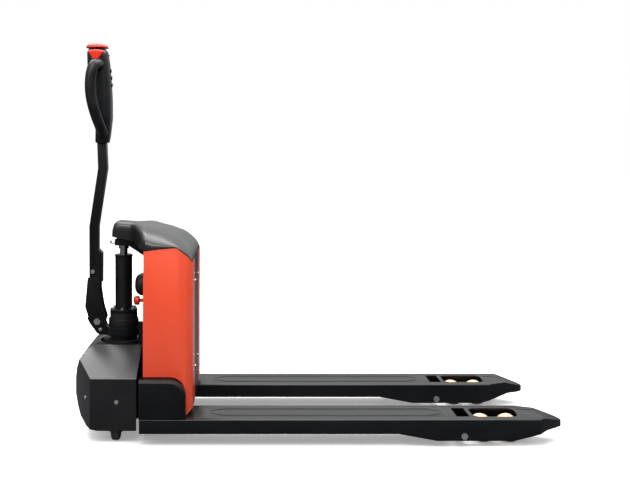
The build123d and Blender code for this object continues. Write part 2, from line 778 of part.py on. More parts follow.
swivel = Pos(caster_x, -caster_y, 0) * Rot(0, 0, -90) * Pos(-caster_x, caster_y, 0)   # at rest they trail outwards
save_sides("caster_fork", swivel * bracket)
caster_wheel = rod_y(caster_wheel_radius, wheel_x, -caster_y - caster_wheel_width / 2,
                     -caster_y + caster_wheel_width / 2, caster_wheel_radius)
caster_wheel = fillet(caster_wheel.edges().filter_by(GeomType.CIRCLE), 4.0)
caster_wheel -= rod_y(caster_axle_radius + running, wheel_x, -caster_y - 40, -caster_y + 40, caster_wheel_radius)
save_sides("caster_wheel", swivel * caster_wheel)
for y in (-caster_y, caster_y):
    base = base - rod_z(6.0 + running, caster_x, y, caster_plate_z - 1, caster_plate_z + 9)
save("base_frame", base)

# ---------------------------------------------------------------- chassis with its cabinet frame
side_outer = cabinet_half - cover_wall - gap
front_outer = x_face - cover_wall - gap
front_inner = front_outer - frame_plate
frame_rear = cabinet_rear + 4.0
rail_y = guide_y + 4.5

plate_top = 545.0
frame = block(front_inner, front_outer, -side_outer + cabinet_corner, side_outer - cabinet_corner,
              heel_top, plate_top)
frame += block(frame_rear, front_inner - 28, -side_outer + 1, side_outer - 1, frame_top - frame_plate, frame_top)
frame += block(frame_rear, front_inner + 1, -side_outer + 1, side_outer - 1, tray_z, tray_z + frame_plate)
frame += block(frame_rear, front_inner + 1, -side_outer + 1, side_outer - 1, shelf_z, shelf_z + 4)
frame += block(frame_rear, frame_rear + frame_plate, -side_outer + 1, side_outer - 1, tray_z, frame_top)
for side in (-1, 1):
    y0, y1 = sorted((side * (side_outer - frame_plate), side * side_outer))
    frame += block(frame_rear, front_inner - cabinet_corner + 8, y0, y1, heel_top, frame_top)
    y0, y1 = sorted((side * rail_y, side * (rail_y + 8)))
    frame += block(cabinet_rear - 8, frame_rear + 1, y0, y1, tray_z + 20, frame_top - 40)
frame -= block(frame_rear + frame_plate, front_inner - cabinet_corner + 8, -side_outer + frame_plate,
               side_outer - frame_plate, shelf_z + 4, frame_top - frame_plate)
frame_slope = cabinet_corner + 22.0
for side in (-1, 1):
    frame -= plan_slab(
        [
            (front_outer + 5, side * (side_outer - frame_slope)),
            (front_outer + 5, side * (side_outer + 5)),
            (front_outer - frame_slope, side * (side_outer + 5)),
        ],
        heel_top - 1,
        frame_top + 1,
    )
frame_hole = rod_x(pump_radius + 0.4, frame_rear - 1, frame_rear + frame_plate + 1, 0, pump_z)
frame_hole += rod_x(button_stem + 0.1 + gap, frame_rear - 1, frame_rear + frame_plate + 1, 0, button_z)
frame = frame - frame_hole
gusset_rear = fork_heel - 2.0


def gusset_outline(inset):
    """Side outline of the steel housing over each fork heel, with its round top corner."""
    top = gusset_top - inset
    front = gusset_front - inset
    outline = side_slab([(gusset_rear, heel_top), (gusset_rear, top), (front, top), (front, heel_top)],
                        -half_width + inset, -side_outer)
    edge = outline.edges().filter_by(Axis.Y).sort_by(lambda e: e.center().X + e.center().Z)[-1]
    return fillet(edge, gusset_corner - inset)


gusset = gusset_outline(0)
outer_edges = [
    e for e in gusset.faces().sort_by(Axis.Y)[0].edges() if e.center().Z > heel_top + 1 and e.center().X > gusset_rear + 1
]
gusset = chamfer(outer_edges, 8.0)
gusset = gusset - (gusset_outline(5.0) + block(gusset_rear - 1, gusset_front - 5, -half_width + 5, -side_outer,
                                               heel_top - 1, heel_top + 20))
save_sides("gusset", gusset)

# ---------------------------------------------------------------- bracket that stands on the lift cylinder
bracket_half = 45.0
bracket_rear = steer_x - 24.0
seat = block(bracket_rear, frame_rear, -bracket_half, bracket_half, rod_top, rod_top + 20)
for side in (-1, 1):
    y0, y1 = sorted((side * (bracket_half - 7), side * bracket_half))
    seat += side_slab(
        [
            (bracket_rear + 8, rod_top + 1),
            (steer_x + 22, rod_top - 1),
            (frame_rear, rod_top - 50),
            (frame_rear, rod_top + 1),
        ],
        y0,
        y1,
    )
save("head_bracket", seat)
hook = rod_x(3.0, bracket_rear - 14, bracket_rear, -bracket_half + 12, rod_top + 8)
hook += rod_z(3.0, bracket_rear - 14, -bracket_half + 12, rod_top + 5, rod_top + 15)
save("lead_hook", hook)

# ---------------------------------------------------------------- red side covers and dark front cover
cover_bottom = fork_top + 2.0
cover_line = [
    (cabinet_rear + 2, 593.0),
    (cabinet_rear + 45, 599.0),
    (cabinet_rear + 104, 604.0),
    (cabinet_rear + 139, 576.0),
    (x_face + 1, 553.0),
]


def cabinet_plan(inset):
    """Plan outline of the cabinet: square at the rear, round at the load face."""
    half = cabinet_half - inset
    front = x_face - inset
    outline = plan_slab([(cabinet_rear, -half), (front, -half), (front, half), (cabinet_rear, half)], 0, 800)
    edges = outline.edges().filter_by(Axis.Z).group_by(Axis.X)[-1]
    return fillet(edges, cabinet_corner - inset)


ring = cabinet_plan(0) - cabinet_plan(cover_wall)
cover_side = side_slab(
    cover_line
    + [
        (x_face + 1, cover_bottom + 18),
        (gusset_front + 2, cover_bottom),
        (cabinet_rear - 4, cover_bottom),
    ],
    -cabinet_half,
    -front_panel_half,
)
cover = (ring & cover_side) - gusset_outline(-2.0)
cover = cover - block(cabinet_rear - 1, cabinet_rear + cover_wall, -cabinet_half + cover_wall, 0, 0, 800)
save_sides("side_cover", cover)
front_cover = block(x_face - cover_wall, x_face, -front_panel_half + gap, front_panel_half - gap,
                    cover_bottom + 18, cover_line[-1][1])
for y in (-front_panel_half + 24, front_panel_half - 24):
    for z in (200.0, 480.0):
        hole = rod_x(2.6, front_inner + 1, x_face + 1, y, z)
        front_cover = front_cover - hole
        frame = frame - hole
save("front_cover", front_cover)
cover_screws = []
for y in (-front_panel_half + 24, front_panel_half - 24):
    for z in (200.0, 480.0):
        cover_screws.append(rod_x(2.5, front_inner + 2, x_face, y, z) + rod_x(5.0, x_face, x_face + 2, y, z))
save("cover_screws", *cover_screws)
save("cabinet_frame", frame)

# ---------------------------------------------------------------- black top cover with its nose
seam = 2.0
crown_half = 70.0              # half width of the flat crown
flare_start = steer_x + 34.0
flare_end = cabinet_rear + 2.0


def top_body(inset):
    """Closed block with the top cover's outer faces, drawn inwards by an inset."""
    half = cabinet_half + 2 - inset
    nose = nose_half - inset
    rear = nose_rear + inset
    top = cover_top - inset
    front = x_face - inset
    crown = [
        (front, 571.0 - inset),
        (front - 5, 584.0 - inset),
        (front - 14, 593.0 - inset),
        (front - 27, top - 66),
        (front - 53, top - 47),
        (front - 79, top - 32),
        (front - 122, top - 21),
        (front - 169, top - 11),
        (rear + 16, top),
        (rear + 5, top - 7),
    ]
    underside = [(rear, cover_top - 49), (flare_start, cover_top - 63), (cabinet_rear + 2, 593.0 + seam)]
    underside += [(x, z + seam) for x, z in cover_line[1:]]
    reach = cabinet_half + 10
    profile = side_slab(underside + crown, -reach, reach)
    section = cross_slab(
        [
            (-half, 0),
            (half, 0),
            (half, top - 58),
            (half - 8, top - 44),
            (half - 32, top - 29),
            (half - 87, top - 14),
            (crown_half + 20, top),
            (-crown_half - 20, top),
            (87 - half, top - 14),
            (32 - half, top - 29),
            (8 - half, top - 44),
            (-half, top - 58),
        ],
        nose_rear - 10,
        0,
    )
    plan = plan_slab(
        [
            (rear, -nose + 14),
            (rear + 14, -nose),
            (flare_start + inset, -nose),
            (flare_end + inset, -half),
            (front - 30, -half),
            (front, -half + 34),
            (front, half - 34),
            (front - 30, half),
            (flare_end + inset, half),
            (flare_start + inset, nose),
            (rear + 14, nose),
            (rear, nose - 14),
        ],
        0,
        cover_top + 10,
    )
    return profile & section & plan


top_cover = top_body(0)
for shift in (0.0, -30.0, -60.0):
    top_cover = top_cover - Pos(0, 0, shift) * top_body(cover_wall)
post_x = cabinet_rear + 66.0
for side in (-1, 1):
    top_cover += rod_z(9.0, post_x, side * 180, frame_top, 612.0)
    top_cover += rod_z(9.0, post_x, side * 180, 611.0, cover_top) & top_body(1.0)
save("top_cover", top_cover)

# ---------------------------------------------------------------- what the cabinet holds
inside_rear = frame_rear + frame_plate + 3.0
inside_front = front_inner - 3.0
battery = block(inside_rear, inside_front, -150, 150, tray_z + frame_plate, shelf_z - 14)
battery = fillet(battery.edges().filter_by(Axis.Z), 6.0)
for y in (-100, 100):
    battery += rod_z(8.0, (inside_rear + inside_front) / 2, y, shelf_z - 14, shelf_z - 4)
save("battery_pack", battery)
controller = block(inside_rear + 6, inside_front - 12, -190, -60, shelf_z + 4, shelf_z + 70)
for i in range(6):
    y = -180 + 22 * i
    controller -= block(inside_rear + 5, inside_front - 11, y, y + 8, shelf_z + 50, shelf_z + 71)
save("motor_controller", controller)
pump = rod_x(pump_radius, frame_rear - 57, inside_front - 30, 0, pump_z)
pump = fillet(pump.edges().filter_by(GeomType.CIRCLE).sort_by(Axis.X)[0], 26.0)
save("pump_motor", pump)
tank = block(inside_rear + 4, inside_front - 6, 50, 190, shelf_z + 4, shelf_z + 130)
tank = fillet(tank.edges().filter_by(Axis.Z), 10.0)
tank += rod_z(16.0, (inside_rear + inside_front) / 2, 120, shelf_z + 130, shelf_z + 142)
save("oil_tank", tank)
button = rod_x(button_stem, frame_rear - 36, frame_rear + frame_plate - 4, 0, button_z)
button += fillet(rod_x(button_radius, frame_rear - 60, frame_rear - 36, 0, button_z).edges().filter_by(
    GeomType.CIRCLE).sort_by(Axis.X)[0], 6.0)
save("emergency_button", button)

# ---------------------------------------------------------------- tiller arm
pin_head = 3.0
tube_line = [(-727.0, 442.0), (-727.0, 650.0), (-697.7, 845.0), (-701.5, head_bottom + 12)]
box_front = -700.0
outline = side_slab(ribbon(tube_line, tube_depth / 2), -tube_half, tube_half)
outline += side_slab([(-716.0, 452.0), (box_front, 464.0), (box_front, 562.0), (-716.0, 578.0)], -tube_half, tube_half)
bore = side_slab(ribbon(tube_line, tube_depth / 2 - tube_wall), -tube_half + tube_wall, tube_half - tube_wall)
bore += side_slab(
    [
        (-718.0, 440.0),
        (box_front - tube_wall, 440.0),
        (box_front - tube_wall, 560.0),
        (-718.0, 574.0),
    ],
    -tube_half + tube_wall,
    tube_half - tube_wall,
)
arm = (outline - bore) & block(-800, -600, -60, 60, 400, head_bottom)
cheek_outline = [
    (-745.5, 481.0),
    (-754.5, 385.0),
    (-738.0, 330.0),
    (tiller_x, tiller_z - 2),
    (-691.0, 334.0),
    (-686.0, 346.0),
    (-698.0, 386.0),
    (-706.5, 440.0),
    (-706.5, 481.0),
]
for side in (-1, 1):
    y0, y1 = sorted((side * cheek_inner, side * (cheek_inner + cheek_plate)))
    cheek = side_slab(cheek_outline, y0, y1) + rod_y(24.0, tiller_x, y0, y1, tiller_z)
    y0, y1 = sorted((side * (tube_half - 1), side * cheek_inner))
    cheek += side_slab([(-738.0, 446.0), (-708.0, 446.0), (-708.0, 478.0), (-738.0, 478.0)], y0, y1)
    arm += cheek
arm -= rod_y(tiller_pin_radius + running, tiller_x, -60, 60, tiller_z)
bolt_x, bolt_z = -730.0, 500.0
arm -= rod_y(4.1, bolt_x, -60, 60, bolt_z)
save("tiller_arm", arm)
pin_reach = cheek_inner + cheek_plate + 1.0
pin = rod_y(tiller_pin_radius, tiller_x, -pin_reach, pin_reach, tiller_z)
for side in (-1, 1):
    y0, y1 = sorted((side * pin_reach, side * (pin_reach + pin_head)))
    pin += hexagon_y(20.0, tiller_x, y0, y1, tiller_z)
save("tiller_pin", pin)
tube_bolt = rod_y(4.0, bolt_x, -tube_half, tube_half, bolt_z)
for side in (-1, 1):
    y0, y1 = sorted((side * tube_half, side * (tube_half + 3)))
    tube_bolt += rod_y(7.0, bolt_x, y0, y1, bolt_z)
save("tiller_bolt", tube_bolt)

# gas spring in the tube, whose rod carries a roller on the yoke's cam
roller_z = tiller_z + cam_radius + roller_radius + roller_gap
spring_bottom = roller_z + 60.0
spring_top = spring_bottom + 118.0
spring = rod_z(spring_radius, tiller_x, 0, spring_bottom, spring_top)
spring -= rod_z(spring_rod_radius + running, tiller_x, 0, spring_bottom - 1, spring_top - 20)
spring += block(tiller_x - 6, tiller_x + 6, -tube_half + tube_wall, tube_half - tube_wall, spring_top - 12, spring_top)
save("gas_spring_tube", spring)
plunger = rod_z(spring_rod_radius, tiller_x, 0, roller_z + 20, spring_bottom + 50)
plunger += block(tiller_x - 6, tiller_x + 6, -9, 9, roller_z + 12, roller_z + 22)
for side in (-1, 1):
    y0, y1 = sorted((side * 6, side * 9))
    plunger += block(tiller_x - 6, tiller_x + 6, y0, y1, roller_z, roller_z + 13)
    plunger += rod_y(6.0, tiller_x, y0, y1, roller_z)
plunger += rod_y(roller_radius, tiller_x, -6, 6, roller_z)
save("gas_spring_rod", plunger)

# ---------------------------------------------------------------- handle head
head_outline = [
    (-718.5, head_bottom),
    (-681.0, head_bottom),
    (-677.0, 955.0),
    (-671.0, 1012.0),
    (-669.0, 1075.0),
    (-672.0, 1140.0),
    (-677.0, 1190.0),
    (-686.0, head_height - 10),
    (-692.0, head_height - 6),
    (-744.0, head_height - 6),
    (-750.0, head_height - 13),
    (-748.0, 1190.0),
    (-738.0, 1130.0),
    (-726.0, 1060.0),
    (-719.0, 1000.0),
]
handle = side_slab(head_outline, -head_half, head_half) & cross_slab(
    [
        (-30, head_bottom - 5),
        (30, head_bottom - 5),
        (head_half, 1010.0),
        (head_half, head_height - 16),
        (head_half - 12, head_height + 5),
        (12 - head_half, head_height + 5),
        (-head_half, head_height - 16),
        (-head_half, 1010.0),
    ],
    -800,
    -600,
)
paddle_radius = 26.0
handle -= rod_y(throttle_shaft + running, throttle_x, -head_half - 1, head_half + 1, throttle_z)
cap_stem = 10.0
cap_x = -713.0
handle -= rod_z(cap_stem + running, cap_x, 0, head_height - 40, head_height + 5)
keys = {"lower": (1172.0, -675.0), "lift": (1148.0, -672.8), "horn": (1124.0, -671.3)}
key_radius = 7.0
for name, (z, x) in keys.items():
    handle -= rod_x(key_radius + running, x - 14, x + 12, 0, z)
save("handle_head", handle)
for name, (z, x) in keys.items():
    key = rod_x(key_radius, x - 9, x + 5, 0, z)
    key = fillet(key.edges().filter_by(GeomType.CIRCLE).sort_by(Axis.X)[-1], 2.0)
    save(name + "_key", key)

throttle = rod_y(throttle_shaft, throttle_x, -head_half - 1, head_half + 1, throttle_z)
for side in (-1, 1):
    y0, y1 = sorted((side * (head_half + 1), side * (head_half + 24)))
    wing = side_slab(
        [
            (throttle_x - 10, throttle_z - 6),
            (throttle_x + 10, throttle_z - 6),
            (throttle_x + paddle_radius, throttle_z + 14),
            (throttle_x + paddle_radius, throttle_z + 18),
            (throttle_x - paddle_radius, throttle_z + 15),
            (throttle_x - paddle_radius, throttle_z + 11),
        ],
        y0,
        y1,
    )
    throttle += wing
save("throttle", throttle)

cap_line = ThreePointArc((-751.0, 0, head_height + 1), (cap_x, 0, head_height + 13), (-688.0, 0, head_height - 2))
cap_face = make_face(cap_line + Polyline(cap_line @ 1, (-690.0, 0, head_height - 1.5),
                                         (cap_x, 0, head_height + 7), (-750.0, 0, head_height - 1), cap_line @ 0))
cap = Pos(0, -head_half + 4, 0) * extrude(cap_face, amount=2 * head_half - 8, dir=(0, 1, 0))
cap += rod_z(cap_stem, cap_x, 0, throttle_z + throttle_shaft + cap_travel + 3, head_height + 9)
save("reverse_button", cap)

# ---------------------------------------------------------------- grips: one closed loop each side of the head
grip_path = [
    (-704.0, head_half - 12, 1182.0),
    (-716.0, grip_y - 22, 1186.0),
    (-722.0, grip_y, 1150.0),
    (-721.0, grip_y, 1095.0),
    (-712.0, grip_y, 1040.0),
    (-702.0, grip_y - 16, 990.0),
    (-697.0, 30.0, 952.0),
]
path = FilletPolyline(*grip_path, radius=[18, 20, 60, 60, 40])
section = Plane(origin=path @ 0, z_dir=path % 0) * Circle(grip_radius)
grip = sweep(section, path=path) - handle
grip = grip.solids().sort_by(lambda s: s.volume)[-1]
save("grips", *both_sides(grip))
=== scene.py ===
# %% [markdown]
# # An electric pallet truck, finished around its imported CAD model
# The CAD model already holds every bracket, shaft and wheel at its real size, and it says which piece
# moves with which body. What is left for Blender is the surface of things: moulded covers with soft
# edges, sprayed steel, cast polyurethane wheels and zinc plated bolts. The first step loads the frame.

# %% Load the frame
from math import cos, pi, radians, sin, sqrt

import bmesh
import bpy
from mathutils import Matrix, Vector


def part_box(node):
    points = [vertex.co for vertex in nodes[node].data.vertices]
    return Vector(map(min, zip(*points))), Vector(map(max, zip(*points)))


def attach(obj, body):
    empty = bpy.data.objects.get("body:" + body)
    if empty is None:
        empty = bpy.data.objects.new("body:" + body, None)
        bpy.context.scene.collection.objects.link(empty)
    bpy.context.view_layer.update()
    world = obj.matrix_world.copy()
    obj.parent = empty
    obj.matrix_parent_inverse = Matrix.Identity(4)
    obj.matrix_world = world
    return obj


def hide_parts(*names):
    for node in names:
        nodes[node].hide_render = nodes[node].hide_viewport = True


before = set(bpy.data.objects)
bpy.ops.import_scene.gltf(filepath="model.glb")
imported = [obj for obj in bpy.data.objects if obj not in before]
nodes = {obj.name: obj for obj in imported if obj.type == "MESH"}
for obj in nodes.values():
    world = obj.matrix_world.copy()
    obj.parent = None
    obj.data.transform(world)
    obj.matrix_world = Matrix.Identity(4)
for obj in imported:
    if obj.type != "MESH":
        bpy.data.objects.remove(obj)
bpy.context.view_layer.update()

MM = 0.001
WALL = 3 * MM

# %% [markdown]
# Places come from the model's own boxes, so that a piece follows if the design is packed again at
# another size. These are the few that several pieces share.

# %% Shared places
cover_low, cover_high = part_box("top_cover")
shroud_low, shroud_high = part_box("drive_shroud")
side_low, side_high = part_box("side_cover_right")
head_low, head_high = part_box("handle_head")
wheel_low, wheel_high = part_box("drive_wheel_tyre")
steer_x = (wheel_low.x + wheel_high.x) / 2
load_face = side_high.x
print("steering axis at x", round(steer_x, 4), "load face at x", round(load_face, 4))

# %% [markdown]
# The camera stands three metres to the side at chest height and looks straight across the truck, with
# a lens of about 50 mm. It is level, which keeps every upright edge upright, so the lens is shifted
# down and sideways to bring the truck into the frame.

# %% Camera
bpy.ops.object.camera_add(location=(-0.2184, -3.005, 0.916), rotation=(radians(90), 0, 0))
camera = bpy.context.object
camera.name = "studio_camera"
camera.data.lens = 51.1
camera.data.sensor_width = 36
camera.data.shift_x = 0.1095
camera.data.shift_y = -0.1635
bpy.context.scene.camera = camera

# %% [markdown]
# Black paint shows its shape only by what it reflects. So the studio is bright overhead, where the
# sloped covers and fork tops mirror it, and dim low down on the camera's side, which keeps the upright
# faces nearly black. The floor is a pale sheet that takes a soft contact shadow. Its finish is made
# further down, with the others.

# %% Studio light and floor
scene = bpy.context.scene
scene.view_settings.view_transform = "Standard"
world = bpy.data.worlds.new("studio")
scene.world = world
world.use_nodes = True
tree = world.node_tree
tree.nodes.clear()
sky_out = tree.nodes.new("ShaderNodeOutputWorld")
sky_mix = tree.nodes.new("ShaderNodeMixShader")
sky_seen = tree.nodes.new("ShaderNodeBackground")
sky_light = tree.nodes.new("ShaderNodeBackground")
ray = tree.nodes.new("ShaderNodeLightPath")
where = tree.nodes.new("ShaderNodeTexCoord")
split = tree.nodes.new("ShaderNodeSeparateXYZ")
ramp = tree.nodes.new("ShaderNodeValToRGB")
ramp.color_ramp.elements[0].position = 0.05
ramp.color_ramp.elements[0].color = (0.2, 0.205, 0.21, 1)
ramp.color_ramp.elements[1].position = 0.6
ramp.color_ramp.elements[1].color = (1.0, 1.0, 1.0, 1)
sky_seen.inputs["Color"].default_value = (1, 1, 1, 1)
sky_light.inputs["Strength"].default_value = 0.95
tree.links.new(where.outputs["Generated"], split.inputs[0])
tree.links.new(split.outputs["Z"], ramp.inputs["Fac"])
tree.links.new(ramp.outputs["Color"], sky_light.inputs["Color"])
tree.links.new(ray.outputs["Is Camera Ray"], sky_mix.inputs["Fac"])
tree.links.new(sky_light.outputs[0], sky_mix.inputs[1])
tree.links.new(sky_seen.outputs[0], sky_mix.inputs[2])
tree.links.new(sky_mix.outputs[0], sky_out.inputs["Surface"])


def softbox(name, location, target, size, power):
    """Rectangular lamp turned towards a point."""
    bpy.ops.object.light_add(type="AREA", location=location)
    lamp = bpy.context.object
    lamp.name = name
    lamp.data.shape = "RECTANGLE"
    lamp.data.size, lamp.data.size_y = size
    lamp.data.energy = power
    aim = Vector(target) - Vector(location)
    lamp.rotation_euler = aim.to_track_quat("-Z", "Y").to_euler()
    return lamp


softbox("overhead", (-0.2, 1.1, 3.2), (-0.2, 0.9, 0), (4.4, 3.4), 230)
softbox("front_top", (-0.5, -2.6, 3.6), (-0.5, 0, 0.5), (2.6, 1.2), 95)
softbox("front_left", (-2.4, -2.6, 2.4), (-0.5, 0, 0.5), (1.0, 1.4), 22)
softbox("back_fill", (0.6, 3.4, 1.2), (0, 0, 0.3), (3.4, 1.2), 5)

bpy.ops.mesh.primitive_plane_add(size=60, location=(0, 0, 0))
floor = bpy.context.object
floor.name = "floor"

# %% [markdown]
# ## Finishes
# Every finish is built the same way, from noise read in object coordinates. A coarse noise varies the
# colour and the gloss a little, as handling and dust do, and a fine noise gives the moulded grain or
# the orange peel of sprayed paint through a bump node. What is the same everywhere is set on the
# shader itself.

# %% A helper for finishes


def finish_of(name, colour, second, rough, grain=900.0, depth=0.02, patch=9.0, metal=0.0, coat=0.0,
              gloss=0.5, grain_detail=3.0, spread=0.09):
    """Principled material with patchy colour, patchy gloss and a fine surface grain."""
    material = bpy.data.materials.new(name)
    material.use_nodes = True
    graph = material.node_tree
    shader = graph.nodes["Principled BSDF"]
    shader.inputs["Metallic"].default_value = metal
    shader.inputs["Coat Weight"].default_value = coat
    shader.inputs["Coat Roughness"].default_value = 0.12
    shader.inputs["Specular IOR Level"].default_value = gloss
    place = graph.nodes.new("ShaderNodeTexCoord")
    patches = graph.nodes.new("ShaderNodeTexNoise")
    patches.inputs["Scale"].default_value = patch
    patches.inputs["Detail"].default_value = 5.0
    graph.links.new(place.outputs["Object"], patches.inputs["Vector"])
    tint = graph.nodes.new("ShaderNodeValToRGB")
    tint.color_ramp.elements[0].position = 0.35
    tint.color_ramp.elements[0].color = (*colour, 1)
    tint.color_ramp.elements[1].position = 0.68
    tint.color_ramp.elements[1].color = (*second, 1)
    graph.links.new(patches.outputs["Fac"], tint.inputs["Fac"])
    graph.links.new(tint.outputs["Color"], shader.inputs["Base Color"])
    rub = graph.nodes.new("ShaderNodeMapRange")
    rub.inputs["From Min"].default_value = 0.3
    rub.inputs["From Max"].default_value = 0.7
    rub.inputs["To Min"].default_value = rough - spread / 2
    rub.inputs["To Max"].default_value = rough + spread / 2
    graph.links.new(patches.outputs["Fac"], rub.inputs["Value"])
    graph.links.new(rub.outputs["Result"], shader.inputs["Roughness"])
    fine = graph.nodes.new("ShaderNodeTexNoise")
    fine.inputs["Scale"].default_value = grain
    fine.inputs["Detail"].default_value = grain_detail
    graph.links.new(place.outputs["Object"], fine.inputs["Vector"])
    bump = graph.nodes.new("ShaderNodeBump")
    bump.inputs["Strength"].default_value = 0.35
    bump.inputs["Distance"].default_value = depth * MM
    graph.links.new(fine.outputs["Fac"], bump.inputs["Height"])
    graph.links.new(bump.outputs["Normal"], shader.inputs["Normal"])
    return material


# %% [markdown]
# The covers are black moulded plastic with a satin grain, the forks and brackets are sprayed satin
# black, and the side covers are sprayed red-orange over smooth steel. The load wheels are cast
# polyurethane in a pale peach, and the fasteners are zinc plated. The caster wheels are darker than
# the load wheels, with a finish of their own that the record has no slot for.

# %% The truck's finishes
finish = {}


def add_finish(name, *colours_and_roughness, **details):
    """Makes a finish and keeps it under its own name."""
    finish[name] = finish_of(name, *colours_and_roughness, **details)


add_finish("shroud_plastic", (0.004, 0.0045, 0.005), (0.007, 0.0075, 0.008), 0.33,
           grain=1300, depth=0.03, gloss=0.6)
add_finish("cover_plastic", (0.008, 0.0085, 0.009), (0.012, 0.0125, 0.013), 0.33,
           grain=1300, depth=0.03, gloss=0.5)
add_finish("frame_paint", (0.003, 0.0034, 0.004), (0.005, 0.0055, 0.0062), 0.38,
           grain=500, depth=0.02, gloss=0.25)
add_finish("fork_paint", (0.003, 0.0036, 0.0045), (0.0055, 0.0062, 0.0072), 0.33,
           grain=420, depth=0.02, gloss=0.36)
add_finish("red_panel", (0.93, 0.088, 0.032), (0.96, 0.1, 0.04), 0.3,
           grain=380, depth=0.012, coat=0.45, gloss=0.5, patch=4.0, spread=0.05)
add_finish("red_plastic", (0.8, 0.028, 0.014), (0.88, 0.04, 0.02), 0.28,
           grain=900, depth=0.01, gloss=0.5)
add_finish("polyurethane", (0.86, 0.56, 0.34), (0.93, 0.66, 0.44), 0.36,
           grain=260, depth=0.03, patch=30, gloss=0.5)
add_finish("drive_rubber", (0.02, 0.02, 0.02), (0.035, 0.034, 0.033), 0.66,
           grain=350, depth=0.08, patch=30, gloss=0.4)
add_finish("caster_tread", (0.05, 0.045, 0.04), (0.09, 0.08, 0.07), 0.5,
           grain=260, depth=0.04, patch=40, gloss=0.4)
add_finish("zinc", (0.6, 0.61, 0.62), (0.72, 0.72, 0.7), 0.3,
           grain=700, depth=0.02, metal=1.0, patch=70)
add_finish("bright_steel", (0.66, 0.66, 0.66), (0.76, 0.76, 0.76), 0.16,
           grain=1500, depth=0.006, metal=1.0, patch=50, spread=0.05)
add_finish("cast_metal", (0.005, 0.005, 0.006), (0.009, 0.009, 0.01), 0.5,
           grain=320, depth=0.12, patch=30, gloss=0.3)
add_finish("motor_metal", (0.3, 0.31, 0.32), (0.4, 0.4, 0.41), 0.42,
           grain=420, depth=0.06, metal=1.0, patch=30)
add_finish("battery_case", (0.03, 0.032, 0.036), (0.045, 0.047, 0.05), 0.45,
           grain=700, depth=0.05)
add_finish("grip_plastic", (0.005, 0.0056, 0.0065), (0.009, 0.0096, 0.011), 0.42,
           grain=800, depth=0.05, patch=24, gloss=0.3)
add_finish("key_plastic", (0.01, 0.01, 0.01), (0.016, 0.016, 0.016), 0.42,
           grain=1200, depth=0.02, patch=40)

print("finishes", len(finish))

# %% [markdown]
# The floor answers two kinds of ray in two ways. The camera sees a pale sheet with a little glow of
# its own, which keeps it light all round the truck. Every other ray meets a dark grey, so that the
# upright black faces, which mirror the floor, stay dark.

# %% The floor's finish
pale_floor = finish_of("pale_floor", (0.9, 0.9, 0.9), (0.92, 0.92, 0.92), 0.75,
                       grain=60, depth=0.05, patch=1.0, gloss=0.1)
graph = pale_floor.node_tree
pale = graph.nodes.new("ShaderNodeAddShader")
glow = graph.nodes.new("ShaderNodeEmission")
glow.inputs["Strength"].default_value = 0.3
seen = graph.nodes.new("ShaderNodeMixShader")
dim = graph.nodes.new("ShaderNodeBsdfDiffuse")
dim.inputs["Color"].default_value = (0.09, 0.09, 0.095, 1)
ray = graph.nodes.new("ShaderNodeLightPath")
graph.links.new(graph.nodes["Principled BSDF"].outputs[0], pale.inputs[0])
graph.links.new(glow.outputs[0], pale.inputs[1])
graph.links.new(ray.outputs["Is Camera Ray"], seen.inputs["Fac"])
graph.links.new(dim.outputs[0], seen.inputs[1])
graph.links.new(pale.outputs[0], seen.inputs[2])
graph.links.new(seen.outputs[0], graph.nodes["Material Output"].inputs["Surface"])
floor.data.materials.append(pale_floor)

# %% Put each finish on its CAD nodes
for name, piece in nodes.items():
    for material_slot in piece.material_slots:
        base = material_slot.material.name.split(".")[0] if material_slot.material else ""
        if base in finish:
            material_slot.material = finish[base]
        else:
            print("no finish for", name, base)

# %% [markdown]
# ## Soft edges on pressed and welded steel
# No sheet or plate ends in a razor edge. The CAD shapes are right but their edges are sharp, so each
# visible plate part is copied, its doubled points are merged, flat faces are joined again into single
# polygons, and a Bevel modifier rounds every edge sharper than thirty degrees. The rounded rim is what
# catches a thin line of light along a black part.

# %% A helper that rounds a copy of a CAD node


def choose(piece, *others):
    """Selects one piece as the active one, with any others, and nothing else."""
    bpy.ops.object.select_all(action="DESELECT")
    for chosen in (piece, *others):
        chosen.select_set(True)
    bpy.context.view_layer.objects.active = piece


def start_edit(piece):
    """Edit mode on one piece, with everything in it selected."""
    choose(piece)
    bpy.ops.object.mode_set(mode="EDIT")
    bpy.ops.mesh.select_all(action="SELECT")


def bevel_edges(piece, width, segments, angle=30.0):
    """Rounds the sharp edges for good and shades the rest smooth."""
    choose(piece)
    rounding = piece.modifiers.new("rounding", "BEVEL")
    rounding.width = width * MM
    rounding.segments = segments
    rounding.limit_method = "ANGLE"
    rounding.angle_limit = radians(angle)
    rounding.use_clamp_overlap = True
    bpy.ops.object.modifier_apply(modifier=rounding.name)
    bpy.ops.object.shade_smooth_by_angle(angle=radians(35))


def place_piece(piece, body, slot, *replaced):
    """Fixes a finished piece to its body with the finish named by slot, and hides the CAD nodes it replaces.
    """
    piece.data.materials.clear()
    piece.data.materials.append(finish[slot])
    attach(piece, body)
    if replaced:
        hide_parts(*replaced)


def rounded_copy(node, name, body, slot, width=1.2, segments=3):
    """Copy of a CAD node with rounded edges, which stands for that node."""
    choose(nodes[node])
    bpy.ops.object.duplicate()
    piece = bpy.context.object
    piece.name = name
    piece.parent = None
    for key in list(piece.keys()):
        del piece[key]
    start_edit(piece)
    bpy.ops.mesh.remove_doubles(threshold=0.01 * MM)
    bpy.ops.mesh.dissolve_limited(angle_limit=radians(0.5))
    bpy.ops.object.mode_set(mode="OBJECT")
    bevel_edges(piece, width, segments)
    place_piece(piece, body, slot, node)


def give_wall(piece):
    """Turns a skin into a wall, inwards from its outer face."""
    choose(piece)
    wall = piece.modifiers.new("wall", "SOLIDIFY")
    wall.thickness = WALL
    wall.offset = -1
    bpy.ops.object.modifier_apply(modifier=wall.name)


